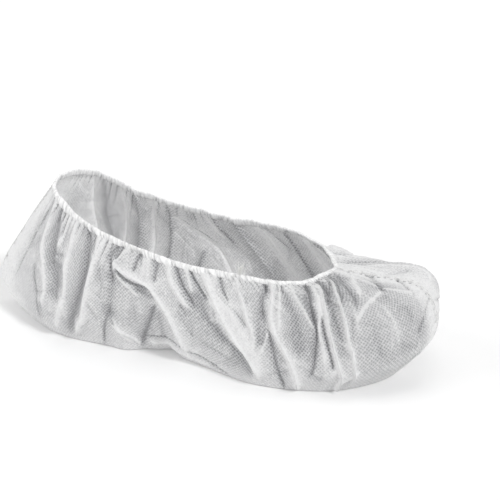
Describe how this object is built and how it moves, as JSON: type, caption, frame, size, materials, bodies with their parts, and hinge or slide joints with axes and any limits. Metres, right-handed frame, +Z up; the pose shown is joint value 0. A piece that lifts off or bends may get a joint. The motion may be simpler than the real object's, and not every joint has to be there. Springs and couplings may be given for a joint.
{
  "type": "disposable shoe cover",
  "caption": "Disposable shoe cover of thin white nonwoven cloth with a gathered elastic hem round the mouth and a sewn middle seam, pulled over a shoe to keep floors clean.",
  "frame": {"origin": "on the floor under the middle of the cover's length and width", "axes": "+X from heel to toe, +Y towards the side of the big toe, +Z up"},
  "size_m": [0.3126, 0.1222, 0.0978],
  "materials": {
    "nonwoven": "matte point-bonded nonwoven, slightly see-through",
    "seam_thread": "matte overlocked thread",
    "elastic_hem": "matte gathered hem over elastic"
  },
  "bodies": {
    "root": {"outer_panel": "nonwoven", "inner_panel": "nonwoven", "centre_seam": "seam_thread", "elastic_hem": "elastic_hem"}
  },
  "joints": []
}
